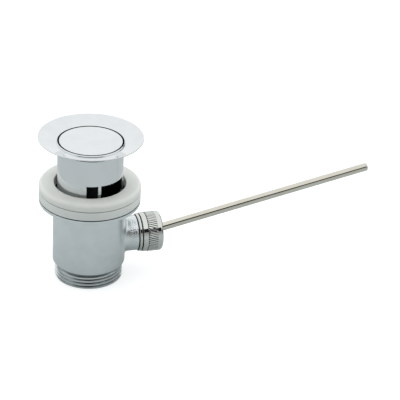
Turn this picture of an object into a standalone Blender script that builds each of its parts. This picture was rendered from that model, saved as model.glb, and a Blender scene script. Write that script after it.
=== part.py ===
"""Pop-up basin drain with an overflow cup and a side lever that lifts the stopper.

Lengths are in metres. Heights are measured along the valve's axis from the outlet end of the tail,
and distances along the branch from the valve's axis. The finished model stands with its origin on
the valve's axis, at the level where the basin's hole carries the flange.
"""
import math

import bmesh
import bpy
from mathutils import Matrix, Vector

# Gaps between neighbours
FIT = 0.0003  # between two pieces that seat on each other
STOPPER_GAP = 0.0008  # dark ring between the stopper and the flange
WING_GAP = 0.0005  # between the guide's wings and the cup

# Body casting
BARREL_WALL = 0.00205
BARREL_TOP = 0.0508  # underside of the collar
BARREL_FOOT = 0.0102  # where the barrel ends above the tail thread
BARREL_CHAMFER = 0.0015
TAIL_ROOT_R = 0.0196  # under the tail thread
TAIL_WALL = 0.0023
TAIL_BORE_LENGTH = 0.0105
COLLAR_WIDTH = 0.00935  # from the neck out to the collar's edge
COLLAR_THICK = 0.0021
NECK_WALL = 0.0013
NECK_RISE = 0.0051  # above the collar
CAVITY_RISE = 0.0030  # height of the cone between the tail bore and the cavity

# Cup with its dished flange
TUBE_R = 0.01995
TUBE_WALL = 0.00155
FLANGE_WIDTH = 0.01125  # from the lip's foot out to the rim
FLANGE_TOP = 0.0943
FLANGE_EDGE = 0.0009  # thickness at the rim
DISH_DEPTH = 0.0041  # from the rim down to the foot of the lip round the stopper
DISH_SAG = 0.0003
LIP_WIDTH = 0.0005
LIP_RISE = 0.0010  # the lip stands up from the dish
SEAT_DEPTH = 0.0028  # from the lip down to the sealing cone
SEAT_CONE = 0.0012
SOCKET_WALL = 0.0016  # wall of the wider socket under the flange
SOCKET_HEIGHT = 0.0063  # from the rim down to the socket's foot
SOCKET_TAPER = 0.0012

# Overflow windows, a small and a large one in each of two groups on opposite sides of the cup
WINDOW_RISE = 0.0013  # from the body's neck up to the windows
WINDOW_HEIGHT = 0.0110
SMALL_WINDOW = 0.0069  # width along the tube's outside
LARGE_WINDOW = 0.0219
WINDOW_POST = 0.0020
WINDOW_AZIMUTH = math.radians(-108.5)  # where the first group starts, from the branch

# Basin gasket on its backing ring
BACKING_OVERHANG = 0.0001  # past the collar's edge
BACKING_HEIGHT = 0.00545
BACKING_ROUND = 0.0006
GASKET_OVERHANG = 0.0001
GASKET_PLAY = 0.0003  # between the neck and the gasket's hole
GASKET_HEIGHT = 0.00475
GASKET_ROUND = 0.0030
GASKET_LIP_ROUND = 0.0005

# Side branch with the lever's ball joint
BRANCH_HEIGHT = 0.0249
BRANCH_R = 0.01095
BRANCH_REACH = 0.0073  # cast outside, past the barrel
STUB_LENGTH = 0.0096  # threaded stub past the cast outside
STUB_WALL = 0.0014
TUBE_CLEARANCE = 0.0023  # from the top of the branch up to the cup's tube
BRANCH_BORE_R = 0.0076
POCKET_SUNK = 0.0003  # how far the pocket's floor lies inside the cast outside
ROOT_FILLET = 0.0016
BALL_R = 0.0060
SEAT_WALL = 0.0026  # from the ball out to the seat's outside
BALL_SUNK = 0.0022  # from the stub's mouth in to the ball's middle
SEAT_WASHER_THICK = 0.0012
SEAT_WASHER_WIDTH = 0.0021
INNER_SEAT_BORE_R = 0.0046
OUTER_SEAT_BORE_R = 0.0049
SEAT_SPLIT = 0.0012  # from the ball's middle to each seat's open face
OUTER_SEAT_REACH = 0.0055  # from the ball's middle to the nut's wall

# Ring and knurled nut on the branch
RING_WIDTH = 0.0019
RING_THICK = 0.0011
RING_CHAMFER = 0.0007
NUT_WALL = 0.0015
NUT_KNURL_RISE = 0.0002
NUT_FACE = 0.0021  # thickness of the front wall
NUT_HOLE_R = 0.0052
NUT_BAND = 0.0032  # plain band next to the ring
NUT_KNURL = 0.0060
NUT_ROUND = 0.0021
NUT_EDGE = 0.0003
NUT_THREAD_SPARE = 0.0008  # thread past the stub's mouth

# Lever
ROD_R = 0.0025
ROD_OUTER = 0.1469  # from the ball's middle to the free end
ROD_SPARE = 0.0025  # past the valve's axis at the inner end
ROD_ROUND = 0.0018
LEVER_TILT = math.radians(12.7)  # free end up while the stopper is shut
BALL_END_R = 0.0032  # flat ends of the ball

# Stopper
CAP_INSET = 0.0007  # the cap's edge inside the tube's outside
CAP_THICK = 0.0020
CAP_DOME = 0.0005
CAP_ROUND = 0.0006
CAP_BOSS_R = 0.0055
CAP_STUD_R = 0.0030
CAP_STUD = 0.0080
CAP_SEAL_THICK = 0.0010
CAP_SEAL_INSET = 0.0001
GUIDE_HEAD_INSET = 0.0029  # the head's edge inside the tube's bore
GUIDE_HEAD_THICK = 0.0020
GUIDE_HUB_R = 0.0050
GUIDE_CLEARANCE = 0.0100  # from the branch's axis up to the hub
WING_THICK = 0.0016
UPPER_WING = 0.0140
LOWER_WING_RISE = 0.0060  # above the hub's foot
LOWER_WING = 0.0120
WING_CHAMFER = 0.0015
SCREW_R = 0.0025
SCREW_BORE = 0.0150  # depth of the guide's bore
SCREW_FOOT_R = 0.0030
SCREW_FOOT = 0.0051  # straight part of the screw's foot
LOCK_NUT_FLATS = 0.0090
LOCK_NUT_HEIGHT = 0.0034

# Facets round the turned pieces, and the straight pieces that make an arc
BODY_FACETS = 64
CUP_FACETS = 64
RING_FACETS = 56
SMALL_FACETS = 32
INNER_FACETS = 24
ARC_PIECE = 0.0008
ARC_STEPS = 4

# Sizes that follow from the ones above
CAVITY_R = TUBE_R + FIT
BARREL_R = CAVITY_R + BARREL_WALL
TAIL_BORE_R = TAIL_ROOT_R - TAIL_WALL
NECK_R = CAVITY_R + NECK_WALL
COLLAR_R = NECK_R + COLLAR_WIDTH
COLLAR_TOP = BARREL_TOP + COLLAR_THICK
NECK_TOP = COLLAR_TOP + NECK_RISE
BACKING_R = COLLAR_R + BACKING_OVERHANG
BACKING_FOOT = COLLAR_TOP + FIT
GASKET_R = COLLAR_R + GASKET_OVERHANG
GASKET_HOLE_R = NECK_R + GASKET_PLAY
GASKET_FOOT = BACKING_FOOT + BACKING_HEIGHT + FIT
TUBE_BORE_R = TUBE_R - TUBE_WALL
TUBE_FOOT = BRANCH_HEIGHT + BRANCH_R + TUBE_CLEARANCE
WINDOW_FOOT = NECK_TOP + WINDOW_RISE
WINDOW_TOP = WINDOW_FOOT + WINDOW_HEIGHT
CAP_R = TUBE_R - CAP_INSET
CAP_POCKET_R = CAP_R + STOPPER_GAP
LIP_R = CAP_POCKET_R + LIP_WIDTH
FLANGE_R = LIP_R + FLANGE_WIDTH
DISH_FLOOR = FLANGE_TOP - DISH_DEPTH
LIP_TOP = DISH_FLOOR + LIP_RISE
SOCKET_R = CAP_POCKET_R + SOCKET_WALL
SOCKET_FOOT = FLANGE_TOP - SOCKET_HEIGHT
SEAT_TOP = LIP_TOP - SEAT_DEPTH
SEAT_FOOT = SEAT_TOP - SEAT_CONE
ORIGIN_HEIGHT = DISH_FLOOR - FLANGE_EDGE
BRANCH_END = BARREL_R + BRANCH_REACH
BRANCH_MOUTH = BRANCH_END + STUB_LENGTH
POCKET_R = BALL_R + SEAT_WALL + FIT
STUB_R = POCKET_R + STUB_WALL
POCKET_FLOOR = BRANCH_END - POCKET_SUNK
BALL_PLACE = BRANCH_MOUTH - BALL_SUNK
OUTER_SEAT_END = BALL_PLACE + OUTER_SEAT_REACH
RING_R = STUB_R + FIT + RING_THICK
NUT_R = STUB_R + FIT + NUT_WALL
NUT_FACE_FOOT = OUTER_SEAT_END + FIT
NUT_END = NUT_FACE_FOOT + NUT_FACE
ROD_INNER = BALL_PLACE / math.cos(LEVER_TILT) + ROD_SPARE
GUIDE_FOOT = BRANCH_HEIGHT + GUIDE_CLEARANCE


def clear_scene():
    """Remove whatever the scene holds."""
    for item in list(bpy.data.objects):
        bpy.data.objects.remove(item, do_unlink=True)


def paint(name, colour, roughness, metallic):
    """Make a plain material."""
    material = bpy.data.materials.new(name)
    material.use_nodes = True
    shader = material.node_tree.nodes["Principled BSDF"]
    shader.inputs["Base Color"].default_value = (*colour, 1.0)
    shader.inputs["Roughness"].default_value = roughness
    shader.inputs["Metallic"].default_value = metallic
    return material


def empty(name, place, parent=None, rotation=(0.0, 0.0, 0.0)):
    """Make an empty that carries pieces."""
    carrier = bpy.data.objects.new(name, None)
    carrier.empty_display_size = 0.01
    carrier.location = place
    carrier.rotation_euler = rotation
    carrier.parent = parent
    bpy.context.collection.objects.link(carrier)
    return carrier


def corner_arc(before, corner, after, radius):
    """Points of the fillet that rounds one corner of an outline."""
    into = (before - corner).normalized()
    out = (after - corner).normalized()
    half = into.angle(out) / 2
    reach = min(radius / math.tan(half), 0.49 * (before - corner).length, 0.49 * (after - corner).length)
    radius = reach * math.tan(half)
    centre = corner + (into + out).normalized() * radius / math.sin(half)
    start = corner + into * reach - centre
    end = corner + out * reach - centre
    sweep = start.angle_signed(end)
    steps = min(ARC_STEPS, max(1, round(abs(sweep) * radius / ARC_PIECE)))
    return [centre + Matrix.Rotation(-sweep * i / steps, 2) @ start for i in range(steps + 1)]


def outline(corners):
    """Turn (radius, height, fillet) corners into the points of a closed outline."""
    places = [Vector(corner[:2]) for corner in corners]
    points = []
    for index, corner in enumerate(corners):
        place = places[index]
        if len(corner) < 3 or corner[2] == 0:
            points.append(place)
            continue
        points += corner_arc(places[index - 1], place, places[(index + 1) % len(places)], corner[2])
    return points


def finish(name, mesh_data, parent, material, sharp=32):
    """Close a bmesh into an object with clean normals and smooth shading."""
    bmesh.ops.remove_doubles(mesh_data, verts=mesh_data.verts, dist=1e-7)
    bmesh.ops.dissolve_degenerate(mesh_data, edges=mesh_data.edges, dist=1e-7)
    bmesh.ops.recalc_face_normals(mesh_data, faces=mesh_data.faces)
    mesh = bpy.data.meshes.new(name)
    mesh_data.to_mesh(mesh)
    mesh_data.free()
    mesh.shade_smooth()
    mesh.set_sharp_from_angle(angle=math.radians(sharp))
    piece = bpy.data.objects.new(name, mesh)
    piece.parent = parent
    bpy.context.collection.objects.link(piece)
    if material:
        mesh.materials.append(material)
    return piece


def turned(name, points, parent, material, facets):
    """Turn a closed outline of (radius, height) points about the local Z axis."""
    shape = bmesh.new()
    ring = [shape.verts.new((point[0], 0.0, point[1])) for point in points]
    edges = [shape.edges.new((ring[i - 1], ring[i])) for i in range(len(ring))
             if ring[i - 1].co.x > 0 or ring[i].co.x > 0]
    bmesh.ops.spin(shape, geom=ring + edges, cent=(0, 0, 0), axis=(0, 0, 1), angle=math.tau,
                   steps=facets, use_merge=True)
    return finish(name, shape, parent, material)


def cutter(piece):
    """Hide a piece that only shapes others."""
    piece.hide_render = True
    piece.display_type = "WIRE"
    return piece


def combine(target, other, operation):
    """Join or cut one solid with another."""
    step = target.modifiers.new(f"{operation.lower()} {other.name}", "BOOLEAN")
    step.operation = operation
    step.object = other
    step.solver = "EXACT"
    cutter(other)


def loft(name, rings, parent, material):
    """Skin a row of rings with equal numbers of points, with a flat cap at each end."""
    shape = bmesh.new()
    rows = [[shape.verts.new(point) for point in ring] for ring in rings]
    count = len(rows[0])
    for low, high in zip(rows, rows[1:]):
        for i in range(count):
            shape.faces.new((low[i - 1], low[i], high[i], high[i - 1]))
    shape.faces.new(rows[0])
    shape.faces.new(rows[-1])
    return finish(name, shape, parent, material)


def branch_outside(parent):
    """Cast branch whose root runs into the barrel in a fillet, with its threaded stub."""
    def around(radius, place):
        points = []
        for i in range(SMALL_FACETS):
            turn = math.tau * i / SMALL_FACETS
            across = radius * math.cos(turn)
            points.append((place(across), across, BRANCH_HEIGHT + radius * math.sin(turn)))
        return points

    def flat(distance):
        return lambda across: distance

    def past_barrel(distance):
        return lambda across: math.sqrt(BARREL_R ** 2 - across ** 2) + distance

    root_r = BRANCH_R + ROOT_FILLET
    rings = [around(root_r, flat(BARREL_R / 2))]
    for i in range(ARC_STEPS + 1):
        turn = math.pi / 2 * i / ARC_STEPS
        radius = root_r - ROOT_FILLET * math.sin(turn)
        rings.append(around(radius, past_barrel(ROOT_FILLET * (1 - math.cos(turn)))))
    stub_chamfer = (STUB_R - POCKET_R) / 3
    rings.append(around(BRANCH_R, flat(BRANCH_END)))
    rings.append(around(STUB_R, flat(BRANCH_END)))
    rings.append(around(STUB_R, flat(BRANCH_MOUTH - stub_chamfer)))
    rings.append(around(STUB_R - stub_chamfer, flat(BRANCH_MOUTH)))
    return loft("branch_outside", rings, parent, None)


def make_body(frame, branch, material):
    """Cast body: barrel, collar, neck and tail, with the branch joined on and the ways cut out."""
    tail_edge = (TAIL_ROOT_R - TAIL_BORE_R) / 4
    shape = outline([
        (0.0, 0.0),
        (TAIL_ROOT_R - tail_edge, 0.0),
        (TAIL_ROOT_R, tail_edge),
        (TAIL_ROOT_R, BARREL_FOOT),
        (BARREL_R - BARREL_CHAMFER, BARREL_FOOT),
        (BARREL_R, BARREL_FOOT + BARREL_CHAMFER, BARREL_CHAMFER / 2),
        (BARREL_R, BARREL_TOP, COLLAR_THICK / 2),
        (COLLAR_R, BARREL_TOP, COLLAR_THICK / 5),
        (COLLAR_R, COLLAR_TOP, COLLAR_THICK / 8),
        (NECK_R, COLLAR_TOP),
        (NECK_R, NECK_TOP, NECK_WALL / 4),
        (0.0, NECK_TOP),
    ])
    body = turned("body", shape, frame, material, BODY_FACETS)
    past = COLLAR_THICK
    cavity = turned("cavity", outline([
        (0.0, -past),
        (TAIL_BORE_R, -past),
        (TAIL_BORE_R, TAIL_BORE_LENGTH),
        (CAVITY_R, TAIL_BORE_LENGTH + CAVITY_RISE),
        (CAVITY_R, NECK_TOP + past),
        (0.0, NECK_TOP + past),
    ]), frame, None, BODY_FACETS)
    bore = turned("branch_bore", outline([
        (0.0, CAVITY_R / 2),
        (BRANCH_BORE_R, CAVITY_R / 2),
        (BRANCH_BORE_R, POCKET_FLOOR),
        (POCKET_R, POCKET_FLOOR),
        (POCKET_R, BRANCH_MOUTH + past),
        (0.0, BRANCH_MOUTH + past),
    ]), branch, None, SMALL_FACETS)
    combine(body, branch_outside(frame), "UNION")
    combine(body, cavity, "DIFFERENCE")
    combine(body, bore, "DIFFERENCE")
    return body


def window_cutter(name, azimuth, width, parent):
    """Wedge that opens one window of the cup, from its axis side out through the wall."""
    turn = width / TUBE_R
    inner = TUBE_BORE_R - TUBE_WALL
    outer = TUBE_R + TUBE_WALL
    steps = max(2, round(turn * CUP_FACETS / math.tau))
    shape = bmesh.new()
    rows = []
    for i in range(steps + 1):
        angle = azimuth + turn * (i / steps - 0.5)
        out = Vector((math.cos(angle), math.sin(angle), 0.0))
        rows.append([shape.verts.new(out * radius + Vector((0, 0, height)))
                     for radius, height in ((inner, WINDOW_FOOT), (outer, WINDOW_FOOT),
                                            (outer, WINDOW_TOP), (inner, WINDOW_TOP))])
    for low, high in zip(rows, rows[1:]):
        for i in range(4):
            shape.faces.new((low[i - 1], low[i], high[i], high[i - 1]))
    shape.faces.new(rows[0])
    shape.faces.new(rows[-1])
    return finish(name, shape, parent, None)


def make_cup(frame, material):
    """Cup: dished flange, lip and sealing cone, with the tube and its overflow windows."""
    dish = []
    for i in range(1, ARC_STEPS):
        share = i / ARC_STEPS
        sag = DISH_SAG * 4 * share * (1 - share)
        dish.append((FLANGE_R - FLANGE_WIDTH * share, FLANGE_TOP - DISH_DEPTH * share - sag))
    under = [(radius, height - FLANGE_EDGE) for radius, height in reversed(dish)]
    shape = outline([
        (TUBE_BORE_R, TUBE_FOOT),
        (TUBE_R, TUBE_FOOT, TUBE_WALL / 3),
        (TUBE_R, SOCKET_FOOT - SOCKET_TAPER, TUBE_WALL),
        (SOCKET_R, SOCKET_FOOT, TUBE_WALL / 2),
        (SOCKET_R, DISH_FLOOR - FLANGE_EDGE, SOCKET_WALL / 2),
        *under,
        (FLANGE_R, FLANGE_TOP - FLANGE_EDGE, FLANGE_EDGE / 2),
        (FLANGE_R, FLANGE_TOP, FLANGE_EDGE / 3),
        *dish,
        (LIP_R, DISH_FLOOR),
        (LIP_R, LIP_TOP, LIP_WIDTH / 3),
        (CAP_POCKET_R, LIP_TOP, LIP_WIDTH / 3),
        (CAP_POCKET_R, SEAT_TOP),
        (TUBE_BORE_R, SEAT_FOOT),
    ])
    cup = turned("cup", shape, frame, material, CUP_FACETS)
    for group in range(2):
        edge = WINDOW_AZIMUTH + math.pi * group
        for index, width in enumerate((SMALL_WINDOW, LARGE_WINDOW)):
            middle = edge + width / 2 / TUBE_R
            combine(cup, window_cutter(f"window_{group}_{index}", middle, width, frame), "DIFFERENCE")
            edge += (width + WINDOW_POST) / TUBE_R
    return cup


def make_gasket(frame, rubber, plastic):
    """Soft gasket that presses on the basin from below, and the ring that backs it."""
    turned("backing_ring", outline([
        (NECK_R + FIT, BACKING_FOOT),
        (BACKING_R, BACKING_FOOT, BACKING_ROUND),
        (BACKING_R, BACKING_FOOT + BACKING_HEIGHT, BACKING_ROUND),
        (NECK_R + FIT, BACKING_FOOT + BACKING_HEIGHT),
    ]), frame, plastic, RING_FACETS)
    top = GASKET_FOOT + GASKET_HEIGHT
    turned("basin_gasket", outline([
        (GASKET_HOLE_R, GASKET_FOOT),
        (GASKET_R, GASKET_FOOT, BACKING_ROUND / 2),
        (GASKET_R, top, GASKET_ROUND),
        (GASKET_HOLE_R, top, GASKET_LIP_ROUND),
    ]), frame, rubber, RING_FACETS)


def ball_seat(name, bore_r, far, side, branch, material):
    """Ring seat that cups the ball on one side; side is -1 towards the valve and 1 outwards."""
    hollow_r = BALL_R + FIT
    near = SEAT_SPLIT
    first = math.acos(near / hollow_r)
    last = math.asin(bore_r / hollow_r)
    hollow = []
    steps = ARC_STEPS + 1
    for i in range(steps + 1):
        turn = first + (last - first) * i / steps
        hollow.append((hollow_r * math.sin(turn), BALL_PLACE + side * hollow_r * math.cos(turn)))
    outer_r = POCKET_R - FIT
    points = hollow + [(bore_r, far), (outer_r, far), (outer_r, BALL_PLACE + side * near)]
    turned(name, [Vector(point) for point in points], branch, material, INNER_FACETS)


def make_gland(branch, plastic, rubber, chrome):
    """Washer and seats round the ball, the plain ring and the knurled nut that hold them."""
    washer_foot = POCKET_FLOOR + FIT
    washer_top = washer_foot + SEAT_WASHER_THICK
    washer_r = POCKET_R - FIT
    turned("seat_washer", outline([
        (washer_r - SEAT_WASHER_WIDTH, washer_foot),
        (washer_r, washer_foot),
        (washer_r, washer_top),
        (washer_r - SEAT_WASHER_WIDTH, washer_top),
    ]), branch, rubber, INNER_FACETS)
    ball_seat("inner_seat", INNER_SEAT_BORE_R, washer_top + FIT, -1, branch, plastic)
    ball_seat("outer_seat", OUTER_SEAT_BORE_R, OUTER_SEAT_END, 1, branch, plastic)
    ring_foot = BRANCH_END + FIT
    turned("gland_ring", outline([
        (STUB_R + FIT, ring_foot),
        (RING_R - RING_CHAMFER, ring_foot),
        (RING_R, ring_foot + RING_CHAMFER, RING_CHAMFER / 2),
        (RING_R, ring_foot + RING_WIDTH, RING_CHAMFER / 3),
        (STUB_R + FIT, ring_foot + RING_WIDTH),
    ]), branch, chrome, RING_FACETS)
    nut_foot = ring_foot + RING_WIDTH + FIT
    knurl_foot = nut_foot + NUT_BAND
    knurl_r = NUT_R + NUT_KNURL_RISE
    thread_end = BRANCH_MOUTH + NUT_THREAD_SPARE
    turned("gland_nut", outline([
        (STUB_R + FIT, nut_foot),
        (NUT_R, nut_foot, NUT_EDGE),
        (NUT_R, knurl_foot),
        (knurl_r, knurl_foot + NUT_KNURL_RISE),
        (knurl_r, knurl_foot + NUT_KNURL - NUT_KNURL_RISE),
        (NUT_R, knurl_foot + NUT_KNURL),
        (NUT_R, NUT_END, NUT_ROUND),
        (NUT_HOLE_R, NUT_END, NUT_EDGE),
        (NUT_HOLE_R, NUT_FACE_FOOT),
        (POCKET_R, NUT_FACE_FOOT),
        (POCKET_R, thread_end),
        (STUB_R + FIT, thread_end),
    ]), branch, chrome, RING_FACETS)


def make_lever(frame, nickel, plastic):
    """Lever rod through its ball, on a pivot that holds it at its shut angle."""
    pivot = empty("lever_pivot", (BALL_PLACE, 0.0, BRANCH_HEIGHT), frame,
                  (0.0, math.pi / 2 - LEVER_TILT, 0.0))
    turned("lever_rod", outline([
        (0.0, -ROD_INNER),
        (ROD_R, -ROD_INNER, ROD_ROUND),
        (ROD_R, ROD_OUTER, ROD_ROUND),
        (0.0, ROD_OUTER),
    ]), pivot, nickel, INNER_FACETS)
    first = math.acos(BALL_END_R / BALL_R)
    end = BALL_R * math.sin(first)
    steps = 3 * ARC_STEPS
    points = [Vector((ROD_R + FIT, end)), Vector((ROD_R + FIT, -end))]
    for i in range(steps + 1):
        turn = first * (2 * i / steps - 1)
        points.append(Vector((BALL_R * math.cos(turn), BALL_R * math.sin(turn))))
    turned("lever_ball", points, pivot, plastic, INNER_FACETS)


def wing(name, foot, top, turn, parent):
    """One plate across the hub, which makes two opposite wings."""
    reach = TUBE_BORE_R - WING_GAP
    corners = [(-reach, foot + WING_CHAMFER), (-reach + WING_CHAMFER, foot), (reach - WING_CHAMFER, foot),
               (reach, foot + WING_CHAMFER), (reach, top), (-reach, top)]
    around = Matrix.Rotation(turn, 3, "Z")
    rings = [[around @ Vector((x, side * WING_THICK / 2, z)) for x, z in corners] for side in (-1, 1)]
    return loft(name, rings, parent, None)


def make_guide(stopper, plastic, head_top):
    """Guide under the stopper: head, hub and two sets of wings that run in the cup."""
    head_foot = head_top - GUIDE_HEAD_THICK
    head_r = TUBE_BORE_R - GUIDE_HEAD_INSET
    guide = turned("stopper_guide", outline([
        (0.0, GUIDE_FOOT),
        (GUIDE_HUB_R, GUIDE_FOOT, FIT),
        (GUIDE_HUB_R, head_foot, GUIDE_HEAD_THICK),
        (head_r, head_foot, GUIDE_HEAD_THICK / 3),
        (head_r, head_top, GUIDE_HEAD_THICK / 4),
        (0.0, head_top),
    ]), stopper, plastic, INNER_FACETS)
    upper_top = head_top - GUIDE_HEAD_THICK / 2
    lower_foot = GUIDE_FOOT + LOWER_WING_RISE
    spans = ((upper_top - UPPER_WING, upper_top), (lower_foot, lower_foot + LOWER_WING))
    for level, (foot, top) in enumerate(spans):
        for side in range(2):
            turn = math.pi / 4 + math.pi / 2 * side
            combine(guide, wing(f"wing_{level}_{side}", foot, top, turn, stopper), "UNION")
    past = GUIDE_HEAD_THICK
    for name, radius, low, high in (
        ("stud_bore", CAP_STUD_R + FIT, head_top - CAP_STUD - FIT, head_top + past),
        ("screw_bore", SCREW_R + FIT, GUIDE_FOOT - past, GUIDE_FOOT + SCREW_BORE),
    ):
        bore = turned(name, outline([(0.0, low), (radius, low), (radius, high), (0.0, high)]),
                      stopper, None, INNER_FACETS)
        combine(guide, bore, "DIFFERENCE")
    return guide


def screw_foot_height():
    """Height of the middle of the screw's round foot when it rests on the shut lever."""
    rod_middle = BRANCH_HEIGHT - BALL_PLACE * math.tan(LEVER_TILT)
    return rod_middle + (ROD_R + SCREW_FOOT_R + FIT) / math.cos(LEVER_TILT)


def make_stopper(frame, chrome, plastic, rubber, brass):
    """Stopper: cap, seal, guide, and the screw that rests on the lever."""
    stopper = empty("stopper_slide", (0.0, 0.0, 0.0), frame)
    cap_foot = LIP_TOP - CAP_THICK
    seal_r = CAP_R - CAP_SEAL_INSET
    seal_top = cap_foot - FIT
    seal_foot = seal_top - CAP_SEAL_THICK
    head_top = seal_foot - FIT
    turned("stopper_cap", outline([
        (0.0, head_top - CAP_STUD),
        (CAP_STUD_R, head_top - CAP_STUD, CAP_STUD_R / 4),
        (CAP_STUD_R, head_top + FIT),
        (CAP_BOSS_R, head_top + FIT),
        (CAP_BOSS_R, cap_foot),
        (CAP_R, cap_foot, CAP_ROUND / 2),
        (CAP_R, LIP_TOP, CAP_ROUND),
        (CAP_R / 2, LIP_TOP + 0.75 * CAP_DOME),
        (0.0, LIP_TOP + CAP_DOME),
    ]), stopper, chrome, CUP_FACETS)
    turned("stopper_seal", outline([
        (CAP_BOSS_R + FIT, seal_foot),
        (seal_r, seal_foot, CAP_SEAL_THICK / 3),
        (seal_r, seal_top, CAP_SEAL_THICK / 3),
        (CAP_BOSS_R + FIT, seal_top),
    ]), stopper, rubber, SMALL_FACETS)
    make_guide(stopper, plastic, head_top)
    foot_height = screw_foot_height()
    foot = []
    for i in range(ARC_STEPS + 1):
        turn = math.pi / 2 * (i / ARC_STEPS - 1)
        foot.append(Vector((SCREW_FOOT_R * math.cos(turn), foot_height + SCREW_FOOT_R * math.sin(turn))))
    foot[0].x = 0.0
    screw_top = GUIDE_FOOT + SCREW_BORE - FIT
    shank_foot = foot_height + SCREW_FOOT
    shank = [(SCREW_FOOT_R, shank_foot), (SCREW_R, shank_foot), (SCREW_R, screw_top), (0.0, screw_top)]
    turned("stem_screw", foot + [Vector(point) for point in shank], stopper, brass, INNER_FACETS)
    nut_top = GUIDE_FOOT - FIT
    nut_r = LOCK_NUT_FLATS / math.sqrt(3)
    levels = (nut_top - LOCK_NUT_HEIGHT, nut_top)
    hexagon = [[(nut_r * math.cos(math.tau * i / 6), nut_r * math.sin(math.tau * i / 6), level)
                for i in range(6)] for level in levels]
    lock_nut = loft("lock_nut", hexagon, stopper, brass)
    hole = turned("lock_nut_hole", outline([
        (0.0, levels[0] - FIT),
        (SCREW_R + FIT, levels[0] - FIT),
        (SCREW_R + FIT, levels[1] + FIT),
        (0.0, levels[1] + FIT),
    ]), stopper, None, INNER_FACETS)
    combine(lock_nut, hole, "DIFFERENCE")


def main():
    """Model the drain."""
    clear_scene()
    chrome = paint("chrome", (0.82, 0.84, 0.85), 0.08, 1.0)
    satin = paint("satin chrome", (0.62, 0.67, 0.69), 0.32, 1.0)
    nickel = paint("nickel", (0.78, 0.75, 0.68), 0.18, 1.0)
    gasket_rubber = paint("pale rubber", (0.72, 0.74, 0.70), 0.60, 0.0)
    ring_plastic = paint("pale plastic", (0.62, 0.65, 0.62), 0.45, 0.0)
    white_plastic = paint("white plastic", (0.85, 0.85, 0.82), 0.40, 0.0)
    dark_plastic = paint("dark plastic", (0.05, 0.05, 0.05), 0.45, 0.0)
    black_rubber = paint("black rubber", (0.02, 0.02, 0.02), 0.55, 0.0)
    brass = paint("brass", (0.75, 0.58, 0.28), 0.25, 1.0)
    frame = empty("drain_frame", (0.0, 0.0, -ORIGIN_HEIGHT))
    branch = empty("branch_frame", (0.0, 0.0, BRANCH_HEIGHT), frame, (0.0, math.pi / 2, 0.0))
    make_body(frame, branch, satin)
    make_cup(frame, chrome)
    make_gasket(frame, gasket_rubber, ring_plastic)
    make_gland(branch, white_plastic, black_rubber, chrome)
    make_lever(frame, nickel, white_plastic)
    make_stopper(frame, chrome, dark_plastic, black_rubber, brass)


main()
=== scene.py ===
# %% [markdown]
# # A pop-up basin drain, dressed over its working model
# The drain hangs in the hole of a wash basin. A dished flange carries a flat stopper, a tube with
# overflow windows drops into a cast body, two pale rings seal the basin from below, and a side lever
# lifts the stopper. The working model already holds every piece at its real size and place, so
# nothing is moved here. What shows gets a finer version, and each piece gets its finish.

# %% Load the working model and keep its box
import math

import bmesh
import bpy
from mathutils import Matrix, Vector


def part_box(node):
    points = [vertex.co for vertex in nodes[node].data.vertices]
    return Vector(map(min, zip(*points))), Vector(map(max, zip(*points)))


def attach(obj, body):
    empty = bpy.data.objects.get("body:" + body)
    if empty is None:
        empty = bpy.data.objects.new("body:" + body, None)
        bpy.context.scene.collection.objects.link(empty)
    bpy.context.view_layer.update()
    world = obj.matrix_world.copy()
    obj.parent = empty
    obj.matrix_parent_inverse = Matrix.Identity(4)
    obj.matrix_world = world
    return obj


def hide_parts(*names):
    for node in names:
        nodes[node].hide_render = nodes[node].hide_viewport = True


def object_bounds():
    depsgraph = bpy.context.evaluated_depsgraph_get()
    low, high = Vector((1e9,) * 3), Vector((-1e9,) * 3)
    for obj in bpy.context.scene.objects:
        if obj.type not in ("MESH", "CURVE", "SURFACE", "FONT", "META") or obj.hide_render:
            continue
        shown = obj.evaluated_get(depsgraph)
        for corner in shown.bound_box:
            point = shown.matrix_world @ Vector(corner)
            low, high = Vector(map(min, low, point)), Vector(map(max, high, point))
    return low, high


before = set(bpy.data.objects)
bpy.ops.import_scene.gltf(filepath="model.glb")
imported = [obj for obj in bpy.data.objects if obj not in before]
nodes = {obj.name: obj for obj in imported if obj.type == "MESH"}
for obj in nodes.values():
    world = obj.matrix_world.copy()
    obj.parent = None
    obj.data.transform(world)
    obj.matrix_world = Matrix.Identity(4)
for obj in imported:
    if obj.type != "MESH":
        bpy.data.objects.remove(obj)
cad_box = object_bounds()
MM = 0.001
print("box in mm:", [round(length / MM, 1) for length in cad_box[1] - cad_box[0]])

# %% [markdown]
# ## The camera
# Round edges show as ellipses, and the ellipses of a turned object fix where a camera stood: how
# far, how high, and how it leaned. A long lens from a metre away keeps the rod's far end almost as
# thick as its near end.

# %% Place the camera
CAMERA_FOOT = 0.3 * MM  # above the tail's end: the camera's distance is from there
CAMERA_AWAY = 1003 * MM
CAMERA_RISE = math.radians(31.25)  # of the line from there to the camera
CAMERA_TURN = math.radians(-12.84)  # about the valve, from looking along +Y
CAMERA_PAN = math.radians(4.49)  # off the valve's axis, so that the long rod fits in
CAMERA_TILT = math.radians(28.57)
CAMERA_ROLL = math.radians(3.3)
LENS_MM = 144
SENSOR_MM = 36

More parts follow.
